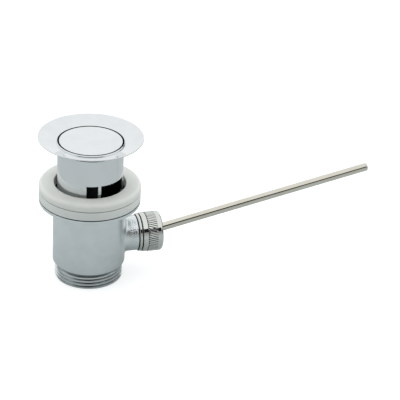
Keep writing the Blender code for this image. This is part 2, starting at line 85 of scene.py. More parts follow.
tail_end = cad_box[0].z
lens = bpy.data.cameras.new("camera")
lens.lens = LENS_MM
lens.sensor_width = SENSOR_MM
camera = bpy.data.objects.new("camera", lens)
bpy.context.scene.collection.objects.link(camera)
bpy.context.scene.camera = camera
orbit = Matrix.Rotation(CAMERA_TURN, 4, "Z")
stand = Vector((0, -math.cos(CAMERA_RISE), math.sin(CAMERA_RISE))) * CAMERA_AWAY
aim = (Matrix.Rotation(-CAMERA_PAN, 4, "Z") @ Matrix.Rotation(math.pi / 2 - CAMERA_TILT, 4, "X")
       @ Matrix.Rotation(CAMERA_ROLL, 4, "Z"))
camera.matrix_world = (Matrix.Translation((0, 0, tail_end + CAMERA_FOOT)) @ orbit
                       @ Matrix.Translation(stand) @ aim)
bpy.context.scene.view_settings.view_transform = "Standard"
print("camera at", [round(x, 3) for x in camera.matrix_world.translation])

# %% [markdown]
# ## Wiring nodes by writing sums
# A pattern is mostly arithmetic, and arithmetic reads best as an expression. `Value` wraps a socket
# that carries a number, so `1 - mask * 0.4` adds its Math nodes by itself. `Wiring` wraps a node tree
# and adds every other node.

# %% Sums on sockets
class Value:
    """A number that a node gives out."""

    def __init__(self, tree, socket):
        self.tree = tree
        self.socket = socket

    def math(self, operation, *terms):
        """Add a Math node in this number's tree, with just these terms."""
        node = self.tree.nodes.new("ShaderNodeMath")
        node.operation = operation
        for slot, term in zip(node.inputs, terms):
            if isinstance(term, Value):
                self.tree.links.new(term.socket, slot)
            else:
                slot.default_value = term
        return Value(self.tree, node.outputs[0])

    def __add__(self, other):
        return self.math("ADD", self, other)

    def __sub__(self, other):
        return self.math("SUBTRACT", self, other)

    def __rsub__(self, other):
        return self.math("SUBTRACT", other, self)

    def __mul__(self, other):
        return self.math("MULTIPLY", self, other)

    def __truediv__(self, other):
        return self.math("DIVIDE", self, other)

    def __pow__(self, other):
        return self.math("POWER", self, other)

    def __gt__(self, other):
        return self.math("GREATER_THAN", self, other)

    def __lt__(self, other):
        return self.math("LESS_THAN", self, other)

    __radd__ = __add__
    __rmul__ = __mul__

    def ramp(self, low, high):
        """Go smoothly from 0 at low to 1 at high."""
        node = self.tree.nodes.new("ShaderNodeMapRange")
        node.interpolation_type = "SMOOTHSTEP"
        self.tree.links.new(self.socket, node.inputs["Value"])
        node.inputs["From Min"].default_value = low
        node.inputs["From Max"].default_value = high
        return Value(self.tree, node.outputs["Result"])


print("sums ready")

# %% A tree that adds its own nodes
class Wiring:
    """A node tree and the one method that adds nodes to it."""

    def __init__(self, tree):
        self.tree = tree

    def feed(self, slot, value):
        if isinstance(value, Value):
            value = value.socket
        if isinstance(value, bpy.types.NodeSocket):
            self.tree.links.new(value, slot)
        else:
            slot.default_value = value

    def node(self, kind, settings=None, sockets=None):
        """Add a node, make its settings, then fill its sockets."""
        made = self.tree.nodes.new(kind)
        for name, value in (settings or {}).items():
            setattr(made, name, value)
        for name, value in (sockets or {}).items():
            self.feed(made.inputs[name], value)
        return made

    def value(self, kind, output, settings=None, sockets=None):
        """Add a node and take one of its outputs as a number for sums."""
        return Value(self.tree, self.node(kind, settings, sockets).outputs[output])


print("wiring ready")

# %% [markdown]
# ## The studio
# Bright metal has hardly any colour of its own: it shows the room. The drain stands in a pale tent on
# a pale grey table, with white cloth above and behind it. A dark slot at the camera's height, where
# the cloth is open, is the black line along the rod and round the nut, and the camera on its stand is
# a narrow dark shape in the middle of it. The cloth is dim right under the slot and paler towards the
# table, and a gap on the lever's side darkens what faces that way. The world gives all of that to rays
# that leave metal, an even grey-white to matt surfaces, and plain white to the camera. The table is
# grey to the metal and white to the camera, and still takes the shadow.

# %% Light the studio
TENT_LIGHT = 1.55  # on matt surfaces, from the sides and the back
FRONT_LIGHT = 0.52  # on matt surfaces, from the camera's side
FRONT_TURN = (-0.3, 0.7)  # cosines between which the one goes over into the other
SLOT_RISE = 0.53  # sine of the slot's middle height, which is the camera's
SLOT_HALF = 0.15
SLOT_SIDE = 0.55  # how far round towards the sides the slot reaches, as a cosine
SLOT_FADE = 0.06
SLOT_DARK = 0.015
HIGH_CLOTH = 1.0  # cloth above the slot and all round the back
LOW_CLOTH = 0.54  # cloth at the table's height
DIM_CLOTH = 0.32  # cloth right under the slot
SHADE_SIDE = 0.24  # how far the camera's dark shape spreads to each side, as a sine
SHADE_TOP = 0.74
SHADE_LIGHT = 0.03
GAP_SIDE = 0.64  # sine of where the tent's gap on the lever's side starts
GAP_RISE = 0.33  # sine of how high that gap goes
GAP_FADE = 0.04
GAP_DEPTH = 0.95
EDGE = 0.02  # half the blur at the edges of these shapes
MATT_TINT = (0.97, 0.99, 1.0, 1.0)
WHITE = (1.0, 1.0, 1.0, 1.0)


def seen_directly(wiring):
    """1 for rays that come straight from the camera, also through glass."""
    path = wiring.node("ShaderNodeLightPath")
    camera, through = (Value(wiring.tree, path.outputs[name])
                       for name in ("Is Camera Ray", "Is Transmission Ray"))
    return camera.math("MAXIMUM", camera, through)


def studio_cloth(ray, wiring):
    """How bright the tent looks along a ray: slot, camera, low cloth and side gap."""
    parts = wiring.node("ShaderNodeSeparateXYZ", sockets={0: ray})
    across, along, rise = (Value(wiring.tree, parts.outputs[i]) for i in range(3))
    towards = across * math.sin(CAMERA_TURN) - along * math.cos(CAMERA_TURN)
    sideways = across * math.cos(CAMERA_TURN) + along * math.sin(CAMERA_TURN)
    front = towards.ramp(SLOT_SIDE - SLOT_FADE, SLOT_SIDE + SLOT_FADE)
    slot_top = SLOT_RISE + SLOT_HALF
    slot_foot = SLOT_RISE - SLOT_HALF
    above = rise.ramp(slot_top - EDGE, slot_top + EDGE)
    below = 1 - rise.ramp(slot_foot - EDGE, slot_foot + EDGE)
    shade = 1 - (sideways ** 2).ramp(SHADE_SIDE ** 2 - EDGE, SHADE_SIDE ** 2 + EDGE)
    shade = shade * (1 - rise.ramp(SHADE_TOP - EDGE, SHADE_TOP + EDGE))
    low_view = LOW_CLOTH + rise.ramp(0.0, slot_foot) * (DIM_CLOTH - LOW_CLOTH)
    slot_view = SLOT_DARK + above * (HIGH_CLOTH - SLOT_DARK) + below * (low_view - SLOT_DARK)
    slot_view = slot_view + shade * (SHADE_LIGHT - slot_view)
    gap = across.ramp(GAP_SIDE - EDGE, GAP_SIDE + EDGE) * (1 - rise.ramp(GAP_RISE - GAP_FADE, GAP_RISE))
    return towards, HIGH_CLOTH * (1 - front) * (1 - gap * GAP_DEPTH) + slot_view * front


def light_studio():
    """Build the world: one look for metal, one for matt surfaces, one for the camera."""
    world = bpy.data.worlds.new("studio")
    world.use_nodes = True
    bpy.context.scene.world = world
    world.node_tree.nodes.clear()
    sky = Wiring(world.node_tree)
    ray = sky.node("ShaderNodeTexCoord").outputs["Generated"]
    towards, cloth = studio_cloth(ray, sky)
    soft = TENT_LIGHT + towards.ramp(*FRONT_TURN) * (FRONT_LIGHT - TENT_LIGHT)
    metal_view, matt_view, camera_view = (
        sky.node("ShaderNodeBackground", sockets={"Color": colour, "Strength": light})
        for colour, light in ((WHITE, cloth), (MATT_TINT, soft), (WHITE, 1.0)))
    by_metal = sky.node("ShaderNodeMixShader", sockets={
        0: sky.node("ShaderNodeLightPath").outputs["Is Glossy Ray"],
        1: matt_view.outputs[0], 2: metal_view.outputs[0]})
    shown = sky.node("ShaderNodeMixShader", sockets={
        0: seen_directly(sky), 1: by_metal.outputs[0], 2: camera_view.outputs[0]})
    sky.node("ShaderNodeOutputWorld", sockets={"Surface": shown.outputs[0]})


light_studio()
print("studio slot at", round(math.degrees(math.asin(SLOT_RISE)), 1), "degrees")

# %% Hang the lamp
LAMP_PLACE = Vector((-0.06, -0.2, 1.1))
LAMP_WIDTH = 0.9
LAMP_POWER = 2.2

lamp_data = bpy.data.lights.new("tent_lamp", "AREA")
lamp_data.shape = "DISK"
lamp_data.size = LAMP_WIDTH
lamp_data.energy = LAMP_POWER
lamp = bpy.data.objects.new("tent_lamp", lamp_data)
lamp.location = LAMP_PLACE
lamp.rotation_euler = (-LAMP_PLACE).to_track_quat("-Z", "Y").to_euler()
lamp.visible_glossy = False
bpy.context.scene.collection.objects.link(lamp)
print("lamp", round(LAMP_PLACE.length, 2), "m away")

# %% Lay the table
TABLE_RADIUS = 6.0
TABLE_SIDES = 96
TABLE_DROP = 0.2 * MM
TABLE_GREY = (0.45, 0.47, 0.47, 1.0)
TABLE_LIFT = 0.66  # added for the camera alone, so that the table shows white


def table_top():
    """Make a round table under the tail."""
    top = bmesh.new()
    bmesh.ops.create_circle(top, cap_ends=True, segments=TABLE_SIDES, radius=TABLE_RADIUS)
    mesh = bpy.data.meshes.new("table")
    top.to_mesh(mesh)
    top.free()
    mesh.transform(Matrix.Translation((0, 0, tail_end - TABLE_DROP)))
    table = bpy.data.objects.new("table", mesh)
    bpy.context.scene.collection.objects.link(table)
    material = bpy.data.materials.new("table_top")
    material.use_nodes = True
    material.node_tree.nodes.clear()
    paper = Wiring(material.node_tree)
    matt = paper.node("ShaderNodeBsdfDiffuse", sockets={"Color": TABLE_GREY})
    glow = paper.node("ShaderNodeEmission", sockets={"Strength": seen_directly(paper) * TABLE_LIFT})
    both = paper.node("ShaderNodeAddShader", sockets={0: matt.outputs[0], 1: glow.outputs[0]})
    paper.node("ShaderNodeOutputMaterial", sockets={"Surface": both.outputs[0]})
    mesh.materials.append(material)
    return table


table_top()
print("table at z =", round(tail_end - TABLE_DROP, 4))

# %% [markdown]
# ## Finishes
# A finish is a shader with patterns that change colour, gloss or the surface itself by a hair. Every
# pattern reads Object coordinates, in metres, so a grain of a tenth of a millimetre is a noise of
# scale 10000 and stays that size on every piece.

# %% A finish and its patterns
class Finish(Wiring):
    """A material with patterns in metres on Object coordinates."""

    def __init__(self, name, colour, roughness, metallic):
        self.material = bpy.data.materials.new(name)
        self.material.use_nodes = True
        super().__init__(self.material.node_tree)
        self.shader = self.tree.nodes["Principled BSDF"]
        self.shader.inputs["Base Color"].default_value = (*colour, 1.0)
        self.shader.inputs["Roughness"].default_value = roughness
        self.shader.inputs["Metallic"].default_value = metallic
        self.place = self.node("ShaderNodeTexCoord").outputs["Object"]
        parts = self.node("ShaderNodeSeparateXYZ", sockets={0: self.place})
        self.x, self.y, self.z = (Value(self.tree, parts.outputs[i]) for i in range(3))

    def noise(self, grain, detail=2.0, stretch=(1, 1, 1), turn=(0, 0, 0)):
        """Noise with lumps of about grain metres, drawn out along one way by stretch."""
        spread = self.node("ShaderNodeMapping", sockets={
            "Vector": self.place, "Rotation": turn, "Scale": tuple(s / grain for s in stretch)})
        return self.value("ShaderNodeTexNoise", "Fac", sockets={
            "Vector": spread.outputs[0], "Scale": 1.0, "Detail": detail})

    def blend(self, factor, first, second):
        """Mix two colours by a number."""
        mix = self.node("ShaderNodeMix", {"data_type": "RGBA"})
        for slot, value in ((0, factor), (6, first), (7, second)):
            if isinstance(value, tuple):
                value = (*value, 1.0)
            self.feed(mix.inputs[slot], value)
        return mix.outputs[2]

    def colour(self, socket):
        self.feed(self.shader.inputs["Base Color"], socket)

    def gloss(self, value):
        self.feed(self.shader.inputs["Roughness"], value)

    def relief(self, height, depth):
        """Raise the surface by height, from 0 to 1, times depth in metres."""
        bump = self.node("ShaderNodeBump", sockets={"Height": height, "Distance": depth,
                                                    "Strength": 1.0})
        self.feed(self.shader.inputs["Normal"], bump.outputs[0])


print("finish ready")

# %% [markdown]
# ## Polished chrome
# Chrome plate on polished brass is a faintly blue mirror. What tells it from a computer's mirror is
# wear: thin smears where the cloth passed, and a slight cloudiness. Where a piece lies in shade, in
# the drain's bore, in the stopper's pocket and between the nut's flutes, that shade is painted into
# its colour, so the same finish turns dark and dull there. Each piece passes a rule that says where
# the painted shade goes, as sums on its own place.

# %% Polished chrome
CHROME = (0.79, 0.82, 0.835)
# colour of the painted shade on chrome pieces
PAINTED_SHADE_COLOUR = (0.05, 0.05, 0.046)
SHADED_DULL = 0.4


def polished_chrome(name, plate, shade_rule):
    """Chrome plate, with painted shade: dark and dull where the rule gives 1."""
    chrome = Finish(name, plate, 0.05, 1.0)
    smear = chrome.noise(10 * MM, 3.0, (1.0, 1.0, 0.3))
    hazy = chrome.noise(0.7 * MM)
    colour = chrome.blend(smear.ramp(0.35, 0.75), plate, tuple(c * 0.96 for c in plate))
    # painted shade: dark and dull wherever the piece's rule gives 1
    shaded = shade_rule(chrome)
    chrome.colour(chrome.blend(shaded, colour, PAINTED_SHADE_COLOUR))
    chrome.gloss(0.03 + smear * 0.03 + hazy * 0.015 + shaded * SHADED_DULL)
    return chrome.material


print("plate", CHROME, "and bare brass", PAINTED_SHADE_COLOUR)

# %% [markdown]
# ## Satin plate on the casting
# The body is cast, tumbled and plated, so it is even and silky on the turned barrel and pebbly on
# the branch, which no tool has touched. One material covers both: a mask by the distance along the
# branch swells the grain. A second mask paints shade into the colour at the steps where another piece
# lies close over the casting. Threads are cut; their crests are painted lighter, as wear and as a
# painted highlight, and their roots darker, as painted shade.

# %% Satin plate
SATIN = (0.81, 0.86, 0.87)
IN_SHADE = (0.03, 0.032, 0.032)
BARREL_FOOT = 10.2  # heights above the tail's end, in millimetres
COLLAR_TOP = 52.9
BRANCH_STARTS = 21.5  # distances from the valve's axis, in millimetres
BRANCH_END = 29.6
TAIL_SHADE = 0.6
PEBBLE_SWELL = 2.2


def satin_plate():
    """Satin chrome for the cast body, with shade painted in where it lies under another piece."""
    satin = Finish("satin_plate", SATIN, 0.3, 1.0)
    silk = satin.noise(0.25 * MM)
    cloud = satin.noise(7 * MM, 3.0)
    pebble = satin.noise(0.85 * MM, 3.0)
    height = satin.z / MM - tail_end / MM
    on_branch = (satin.x / MM).ramp(BRANCH_STARTS, BRANCH_STARTS + 3.5)
    # painted shade: the stub inside the nut, the tail's root above its thread, the collar's top under
    # the rings
    on_stub = (satin.x / MM > BRANCH_END - 0.1) * (height < COLLAR_TOP - 10)
    shade_mask = (height < BARREL_FOOT - 0.02) * TAIL_SHADE + (height > COLLAR_TOP - 0.12) + on_stub
    plate = satin.blend(cloud.ramp(0.3, 0.7), SATIN, tuple(c * 0.95 for c in SATIN))
    satin.colour(satin.blend(shade_mask, plate, IN_SHADE))
    satin.gloss(0.27 + cloud * 0.06 + silk * 0.04 + shade_mask * 0.3 - on_branch * 0.09)
    satin.relief(silk * 0.12 + pebble * (0.12 + on_branch * PEBBLE_SWELL), 0.11 * MM)
    return satin.material


satin = satin_plate()
print("made", satin.name)

# %% Cut threads
# crests: wear and a painted highlight; roots: painted shade
WEAR_AND_HIGHLIGHT_CREST = (0.90, 0.92, 0.92)
SHADED_ROOT = (0.60, 0.63, 0.63)


def cut_thread(name, bright, root, crest):
    """Cut metal round the Z axis, with a painted highlight and wear on the crests and painted shade in
    the roots.
    """
    metal = Finish(name, bright, 0.2, 1.0)
    reach = (metal.x ** 2 + metal.y ** 2) ** 0.5 / MM
    lathe = metal.noise(0.3 * MM, 2.0, (0.3, 0.3, 1.0))
    # roots painted darker as shade, crests painted lighter as wear and highlight
    flank = metal.blend(reach.ramp(root, crest - 0.15), SHADED_ROOT, bright)
    wear_and_highlight = reach.ramp(crest - 0.3, crest)
    metal.colour(metal.blend(wear_and_highlight, flank, WEAR_AND_HIGHLIGHT_CREST))
    metal.gloss(0.14 - wear_and_highlight * 0.05 + lathe * 0.08)
    metal.relief(lathe, 0.01 * MM)
    return metal.material


print("thread roots", SHADED_ROOT, "and crests", WEAR_AND_HIGHLIGHT_CREST)

# %% [markdown]
# ## Nickel, rubber, plastics and brass
# The rod is drawn steel with bright nickel, which is warmer than chrome, with fine lines along its
# length. The rings are moulded: the soft one is warm white and matt, the stiff one under it greyer
# and smoother. The hidden pieces get the finish that they have when the drain is taken apart.

# %% Nickel
ROD_SLOPE = math.radians(12.7)  # the free end stands up by this much while the stopper is shut


def drawn_nickel():
    """Nickel on a drawn rod: its lines follow the slope of the rod."""
    base = (0.70, 0.685, 0.605)
    nickel = Finish("drawn_nickel", base, 0.1, 1.0)
    lines = nickel.noise(0.22 * MM, 2.0, (0.01, 1.0, 1.0), (0.0, ROD_SLOPE, 0.0))
    cloud = nickel.noise(9 * MM)
    nickel.colour(nickel.blend(cloud.ramp(0.3, 0.7), base, (0.665, 0.645, 0.56)))
    nickel.gloss(0.02 + lines * 0.02 + cloud * 0.01)
    nickel.relief(lines, 0.0015 * MM)
    return nickel.material


nickel = drawn_nickel()
print("made", nickel.name)

# %% Moulded rubber and plastic
# painted shade: each ring is darkened below its height here
GASKET_FOOT = 59.05  # heights under which the rings lie in each other's shade, in millimetres
RING_FOOT = 53.35
FOOT_SHADE = 0.12


def moulded(name, colour, roughness, grain, depth, mottle=0.94, shade_below=None):
    """Fine grain of a size and depth in mm, a faint mottle, and painted shade below a given height."""
    stuff = Finish(name, colour, roughness, 0.0)
    fine = stuff.noise(grain * MM, 3.0)
    cloud = stuff.noise(12 * MM, 3.0)
    skin = stuff.blend(cloud.ramp(0.3, 0.7), colour, tuple(c * mottle for c in colour))
    if shade_below:
        shade = 1 - (stuff.z / MM - tail_end / MM).ramp(shade_below - 0.1, shade_below + 0.1)
        skin = stuff.blend(shade, skin, tuple(c * FOOT_SHADE for c in colour))
    stuff.colour(skin)
    stuff.gloss(roughness - 0.05 + fine * 0.1)
    stuff.relief(fine, depth * MM)
    return stuff.material


soft_rubber = moulded("soft_rubber", (0.77, 0.78, 0.74), 0.62, 0.35, 0.02, 0.965, GASKET_FOOT)
ring_plastic = moulded("ring_plastic", (0.72, 0.755, 0.73), 0.5, 0.5, 0.012, 0.96, RING_FOOT)
seat_plastic = moulded("seat_plastic", (0.80, 0.80, 0.76), 0.38, 0.4, 0.01)
guide_plastic = moulded("guide_plastic", (0.035, 0.037, 0.04), 0.42, 0.5, 0.015, 0.7)
black_rubber = moulded("black_rubber", (0.02, 0.02, 0.021), 0.6, 0.3, 0.02, 0.7)
print("made two rubbers and three plastics")

# %% Brass
def turned_brass():
    """Brass with the fine rings that the lathe leaves."""
    base = (0.75, 0.56, 0.26)
    brass = Finish("turned_brass", base, 0.25, 1.0)
    rings = brass.noise(0.2 * MM, 1.0, (0.02, 0.02, 1.0))
    stain = brass.noise(3 * MM, 3.0)
    brass.colour(brass.blend(stain.ramp(0.4, 0.8), base, (0.58, 0.40, 0.17)))
    brass.gloss(0.18 + rings * 0.15 + stain * 0.1)
    brass.relief(rings, 0.01 * MM)
    return brass.material


brass = turned_brass()
print("finishes:", len(bpy.data.materials))

# %% [markdown]
# ## Turning on a lathe
# Most pieces are turned, so each is one closed outline, spun round an axis. Corners of an outline
# may carry a fillet, because a real edge is never sharp and its round is what catches the light.
# Heights are measured from the outlet end of the tail, and for the branch's pieces outwards from the
# valve's axis. The spun mesh is laid in its place before it becomes an object.

# %% Outlines with fillets
ARC_TURN = math.radians(11)  # of a fillet that one straight piece may take
ARC_SHARE = 0.49  # of the shorter side that a fillet may take


def fillet(before, corner, after, radius):
    """Points of the arc that rounds a corner."""
    into = (before - corner).normalized()
    out = (after - corner).normalized()
    half = into.angle(out) / 2
    room = min((before - corner).length, (after - corner).length)
    reach = min(radius / math.tan(half), ARC_SHARE * room)
    radius = reach * math.tan(half)
    centre = corner + (into + out).normalized() * radius / math.sin(half)
    start = corner + into * reach - centre
    sweep = start.angle_signed(corner + out * reach - centre)
    steps = max(2, math.ceil(abs(sweep) / ARC_TURN))
    return [centre + Matrix.Rotation(-sweep * i / steps, 2) @ start for i in range(steps + 1)]


def outline(corners):
    """Closed outline in metres from (radius, height, fillet) corners in millimetres."""
    places = [Vector(corner[:2]) * MM for corner in corners]
    points = []
    for i, corner in enumerate(corners):
        if len(corner) == 3:
            points += fillet(places[i - 1], places[i], places[(i + 1) % len(places)], corner[2] * MM)
        else:
            points.append(places[i])
    return points


print("fillets ready")

# %% Spin an outline
BRANCH_HEIGHT = 24.9 * MM
UPRIGHT = Matrix.Translation((0, 0, tail_end))
ALONG_BRANCH = (Matrix.Translation((0, 0, tail_end + BRANCH_HEIGHT))
                @ Matrix.Rotation(math.pi / 2, 4, "Y"))
FACETS = 192
SHARP = math.radians(32)


def finished(name, shape, material, place, sharp=SHARP):
    """Turn a bmesh into an object that is smooth but for its sharp edges."""
    bmesh.ops.remove_doubles(shape, verts=shape.verts, dist=1e-7)
    bmesh.ops.recalc_face_normals(shape, faces=shape.faces)
    mesh = bpy.data.meshes.new(name)
    shape.to_mesh(mesh)
    shape.free()
    mesh.transform(place)
    mesh.shade_smooth()
    mesh.set_sharp_from_angle(angle=sharp)
    if material:
        mesh.materials.append(material)
    piece = bpy.data.objects.new(name, mesh)
    bpy.context.scene.collection.objects.link(piece)
    return piece


def turned(name, points, material, place=UPRIGHT, facets=FACETS):
    """Spin a closed outline round the local Z axis."""
    shape = bmesh.new()
    ring = [shape.verts.new((p[0], 0.0, p[1])) for p in points]
    edges = [shape.edges.new((ring[i - 1], ring[i])) for i in range(len(ring))
             if ring[i - 1].co.x > 0 or ring[i].co.x > 0]
    bmesh.ops.spin(shape, geom=ring + edges, cent=(0, 0, 0), axis=(0, 0, 1), angle=math.tau,
                   steps=facets, use_merge=True)
    return finished(name, shape, material, place)


print("lathe ready,", FACETS, "facets")

# %% Freeze, measure and dress
def frozen(item, name, material, place=Matrix.Identity(4), sharp=SHARP):
    """Turn what an object's modifiers make into a plain piece, and drop the object."""
    made = item.evaluated_get(bpy.context.evaluated_depsgraph_get())
    mesh = bpy.data.meshes.new_from_object(made)
    bpy.data.objects.remove(item)
    shape = bmesh.new()
    shape.from_mesh(mesh)
    return finished(name, shape, material, place, sharp)


def span(node, place=UPRIGHT):
    """Lowest and highest corner of a working node, seen from a place, in millimetres."""
    corners = [place.inverted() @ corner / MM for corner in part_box(node)]
    return [[side(a, b) for a, b in zip(*corners)] for side in (min, max)]


def dress(piece, body, node):
    """Say which node a finer piece stands for and the body it rides on."""
    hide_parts(node)
    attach(piece, body)
    print(piece.name, "stands for", node, "with", len(piece.data.polygons), "faces")


print("body's highest corner:", [round(side, 1) for side in span("body")[1]])

# %% [markdown]
# ## The cup: flange, lip and tube in one
# The cup is the drain's face. Its flange is dished, so the near side mirrors the horizon and the far
# side the ceiling, which is why the photograph shows one half duller. The tube below has windows
# that let overflow water in. They could be cut with a Boolean, but long thin leftovers spoil a
# mirror. Here the outline is spun by hand, leaving out the faces of each window and joining the
# wall's two sides round it, and the edges then get a small bevel.

# %% Where the windows are
TUBE_R = 19.95
BORE_R = 18.4
WINDOW_FOOT = 59.3
WINDOW_TOP = 70.3
WINDOW_WIDTHS = (6.9, 21.9)
POST_WIDTH = 2.0
FIRST_GROUP = math.radians(-108.5)  # where the first group starts, from the branch


def window_spans():
    """Start and end azimuth of every window, group by group."""
    spans = []
    for group in range(2):
        start = FIRST_GROUP + math.pi * group
        for width in WINDOW_WIDTHS:
            spans.append((start, start + width / TUBE_R))
            start += (width + POST_WIDTH) / TUBE_R
    return spans


def azimuths(spans):
    """Directions for the columns of the wall, with one on each side of every window."""
    edges = sorted(edge for pair in spans for edge in pair)
    directions = []
    for start, end in zip(edges, edges[1:] + [edges[0] + math.tau]):
        steps = max(1, round((end - start) * FACETS / math.tau))
        directions += [start + (end - start) * i / steps for i in range(steps)]
    return directions


print("windows:", len(window_spans()))

# %% Spin a wall with windows
WINDOW_EDGE = 0.22


def windowed(name, points, material, spans):
    """Spin an outline, but for the windows between two of its heights."""
    shape = bmesh.new()
    directions = azimuths(spans)
    ends = {round(height * MM, 7) for height in (WINDOW_FOOT, WINDOW_TOP)}
    columns = [[shape.verts.new((p[0] * math.cos(a), p[0] * math.sin(a), p[1])) for p in points]
               for a in directions]
    walls = [i for i in range(len(points))
             if {round(points[i - 1][1], 7), round(points[i][1], 7)} == ends]
    rise, fall = walls
    frames = []
    for c, (left, right) in enumerate(zip(columns, columns[1:] + columns[:1])):
        middle = directions[c] + (directions[(c + 1) % len(directions)] - directions[c]) % math.tau / 2
        open_here = any((middle - start) % math.tau < end - start for start, end in spans)
        for i in range(len(points)):
            if not (open_here and i in walls):
                shape.faces.new((left[i - 1], right[i - 1], right[i], left[i]))
        if open_here:
            frames.append(shape.faces.new((left[rise - 1], right[rise - 1], right[fall], left[fall])))
            frames.append(shape.faces.new((left[rise], right[rise], right[fall - 1], left[fall - 1])))
    for edge in (edge for pair in spans for edge in pair):
        side = columns[directions.index(edge)]
        frames.append(shape.faces.new((side[rise - 1], side[rise], side[fall - 1], side[fall])))
    rim = {e for f in frames for e in f.edges
           if any(g not in frames for g in e.link_faces)}
    bmesh.ops.bevel(shape, geom=list(rim), offset=WINDOW_EDGE * MM, segments=2, profile=0.5,
                    affect="EDGES", clamp_overlap=True)
    return finished(name, shape, material, UPRIGHT)


print("windows get a bevel of", WINDOW_EDGE, "mm")

# %% The cup's outline
cup_low, cup_high = span("cup")
FLANGE_R = cup_high[0]
FLANGE_TOP = cup_high[2]
TUBE_FOOT = cup_low[2]
RIM_THICK = 0.65
LIP_R = 20.55
LIP_TOP = 91.2
LIP_CHAMFER = 0.3
DISH_FLOOR = 90.55
DISH_STEPS = 14
POCKET_R = 20.1
SEAT_TOP = 88.4
SEAT_FOOT = 87.2
SOCKET_R = 21.65
SOCKET_FOOT = 88.4
SOCKET_TAPER = 0.9


def dish():
    """Points of the dished face, from the rim in to the lip."""
    shares = [i / DISH_STEPS for i in range(1, DISH_STEPS)]
    return [(FLANGE_R + (LIP_R - FLANGE_R) * share, FLANGE_TOP + (DISH_FLOOR - FLANGE_TOP) * share)
            for share in shares]


def cup_outline():
    """Outline of the cup, with points at the windows' foot and top on both sides."""
    face = dish()
    under = [(radius, height - RIM_THICK) for radius, height in reversed(face)]
    return outline([
        (BORE_R, TUBE_FOOT, 0.3), (TUBE_R, TUBE_FOOT, 0.6), (TUBE_R, WINDOW_FOOT), (TUBE_R, WINDOW_TOP),
        (TUBE_R, SOCKET_FOOT - SOCKET_TAPER, 1.5), (SOCKET_R, SOCKET_FOOT, 0.8),
        (SOCKET_R, DISH_FLOOR - RIM_THICK, 0.8), *under,
        (FLANGE_R, FLANGE_TOP - RIM_THICK, 0.25), (FLANGE_R, FLANGE_TOP, 0.2), *face,
        (LIP_R, DISH_FLOOR), (LIP_R, LIP_TOP - LIP_CHAMFER, 0.08), (LIP_R - LIP_CHAMFER, LIP_TOP, 0.08),
        (POCKET_R, LIP_TOP, 0.05), (POCKET_R, SEAT_TOP, 0.2), (BORE_R, SEAT_FOOT, 0.3),
        (BORE_R, WINDOW_TOP), (BORE_R, WINDOW_FOOT),
    ])


print("cup's outline has", len(cup_outline()), "points")

# %% The cup
def hidden_in_cup(chrome):
    """1 in the bore and in the pocket under the stopper, where shade is painted in."""
    reach = (chrome.x ** 2 + chrome.y ** 2) ** 0.5 / MM
    height = chrome.z / MM - tail_end / MM
    in_pocket = (reach < POCKET_R + 0.03) * (height > SEAT_FOOT - 0.3)
    return 1 - reach.ramp(BORE_R + 0.15, BORE_R + 0.45) * (1 - in_pocket)


cup_chrome = polished_chrome("cup_chrome", CHROME, hidden_in_cup)
cup = windowed("flanged_cup", cup_outline(), cup_chrome, window_spans())
dress(cup, "drain", "cup")

# %% [markdown]
# ## The stopper's disc
# The disc lies flush with the lip, in a pocket with a millimetre of air round it, which shows as a
# black ring, made darker by shade painted on the pocket's wall and the disc's side. Its face is a
# very shallow dome: a sphere's arc through the rim and the middle, without the kinks that a few
# straight pieces would put into a mirror.

# %% The stopper's disc
cap_low, cap_high = span("stopper_cap")
DISC_R = cap_high[0] - 0.2
DISC_THICK = 2.0
BOSS_R = 5.5
BOSS_FOOT = 87.9
SPIGOT_R = 3.0
DOME_STEPS = 12


def dome(rise):
    """Points of a shallow dome from the rim in to the middle."""
    radius = (DISC_R ** 2 + rise ** 2) / (2 * rise)
    reaches = [DISC_R * (1 - i / DOME_STEPS) for i in range(1, DOME_STEPS + 1)]
    return [(reach, cap_high[2] - radius + math.sqrt(radius ** 2 - reach ** 2)) for reach in reaches]


def under_the_disc(chrome):
    """1 below the disc's rounded edge, where shade is painted in."""
    return chrome.z / MM - tail_end / MM < LIP_TOP - 0.1


disc_chrome = polished_chrome("disc_chrome", CHROME, under_the_disc)
disc = turned("stopper_disc", outline([
    (0.0, cap_low[2]), (SPIGOT_R, cap_low[2], 0.7), (SPIGOT_R, BOSS_FOOT), (BOSS_R, BOSS_FOOT),
    (BOSS_R, LIP_TOP - DISC_THICK), (DISC_R, LIP_TOP - DISC_THICK, 0.3), (DISC_R, LIP_TOP, 0.15),
    *dome(cap_high[2] - LIP_TOP),
]), disc_chrome)
dress(disc, "stopper", "stopper_cap")

# %% [markdown]
# ## The two pale rings
# A soft gasket presses on the basin from below, and a stiff ring spreads the load of the collar
# under it. Both are moulded, so their edges are rounded, and the soft one most of all round its top.
# Seen together they look like one ring with a thin dark seam, which is partly shade painted at the foot
# of each ring.

# %% The two pale rings
gasket_low, gasket_high = span("basin_gasket")
ring_low, ring_high = span("backing_ring")
HOLE_R = 21.85

gasket = turned("soft_gasket", outline([
    (HOLE_R, gasket_low[2], 0.2),
    (gasket_high[0], gasket_low[2], 0.45),
    (gasket_high[0], gasket_high[2], 3.0),
    (HOLE_R, gasket_high[2], 0.5),
]), soft_rubber)
dress(gasket, "drain", "basin_gasket")
backing = turned("stiff_ring", outline([
    (HOLE_R, ring_low[2], 0.2),
    (ring_high[0], ring_low[2], 0.6),
    (ring_high[0], ring_high[2], 0.5),
    (HOLE_R, ring_high[2], 0.2),
]), ring_plastic)
dress(backing, "drain", "backing_ring")

# %% [markdown]
# ## The cast body
# Barrel, collar and neck are turned from the casting and the branch is left as cast, running into
# the barrel in a fillet. The fillet is made as rings that follow the barrel's curve, then branch and
# barrel are joined and hollowed with exact Booleans. The satin finish forgives the uneven faces that
# a Boolean leaves, which a mirror would not.

